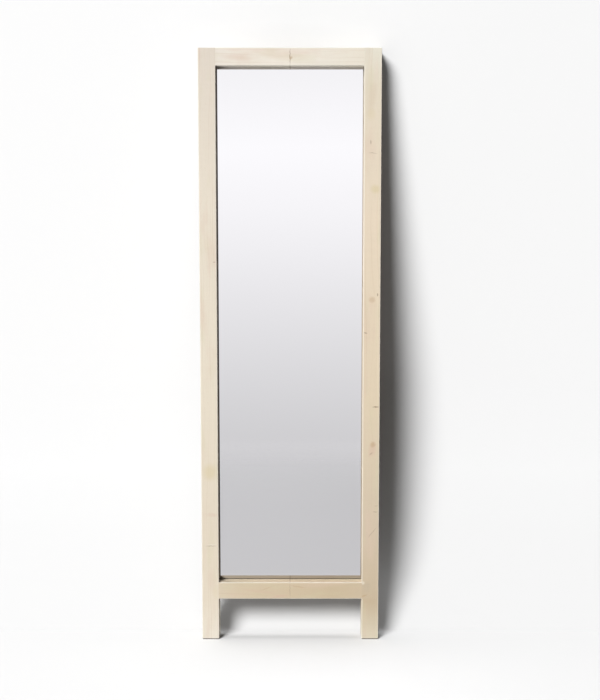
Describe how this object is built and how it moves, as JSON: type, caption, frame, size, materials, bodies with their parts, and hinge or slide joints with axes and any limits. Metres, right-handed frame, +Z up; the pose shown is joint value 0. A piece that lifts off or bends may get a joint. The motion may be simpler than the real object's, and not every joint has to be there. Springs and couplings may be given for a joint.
{
  "type": "leaning floor mirror",
  "caption": "Full-length leaning floor mirror in a deep square-edged pale maple frame whose stiles run on as short legs, with hinged D-ring hangers on the back.",
  "frame": {"origin": "on the floor, under the middle of the whole mirror, bumpers included", "axes": "+Z up along the stiles, +Y towards the wall behind, +X to the right for someone looking into the glass, which faces -Y"},
  "size_m": [0.508, 0.0564, 1.676],
  "materials": {
    "maple": "matt clear-sealed pale maple",
    "dowel_beech": "bare beech",
    "silvered_glass": "polished float glass silvered on its back",
    "film": "matt safety film",
    "foam": "matt closed-cell foam",
    "tape": "dark glazing tape",
    "black_rubber": "matt",
    "grey_rubber": "matt",
    "hardboard": "smooth brown hardboard",
    "yellow_zinc": "yellow zinc plated",
    "bright_steel": "bright zinc plated"
  },
  "bodies": {
    "frame": {"left_stile": "maple", "right_stile": "maple", "top_rail": "maple", "bottom_rail": "maple", "top_rail_dowels": "dowel_beech", "bottom_rail_dowels": "dowel_beech", "mirror_glass": "silvered_glass", "safety_film": "film", "foam_sheet": "foam", "left_glazing_tape": "tape", "right_glazing_tape": "tape", "top_glazing_tape": "tape", "bottom_glazing_tape": "tape", "setting_blocks": "black_rubber", "edge_spacers": "black_rubber", "back_panel": "hardboard", "back_panel_screws": "yellow_zinc", "left_hanger_strap": "bright_steel", "right_hanger_strap": "bright_steel", "hanger_screws": "yellow_zinc", "left_wall_bumper": "grey_rubber", "right_wall_bumper": "grey_rubber", "bumper_screws": "bright_steel", "left_foot_pad": "grey_rubber", "right_foot_pad": "grey_rubber"},
    "left_ring": {"left_hanger_ring": "bright_steel"},
    "right_ring": {"right_hanger_ring": "bright_steel"}
  },
  "joints": [
    {"name": "left_ring_swing", "type": "hinge", "parent": "frame", "child": "left_ring", "pos_m": [-0.2385, 0.02385, 1.466], "axis": [1, 0, 0], "range_deg": [-1.5, 185]},
    {"name": "right_ring_swing", "type": "hinge", "parent": "frame", "child": "right_ring", "pos_m": [0.2385, 0.02385, 1.466], "axis": [1, 0, 0], "range_deg": [-1.5, 185]}
  ]
}
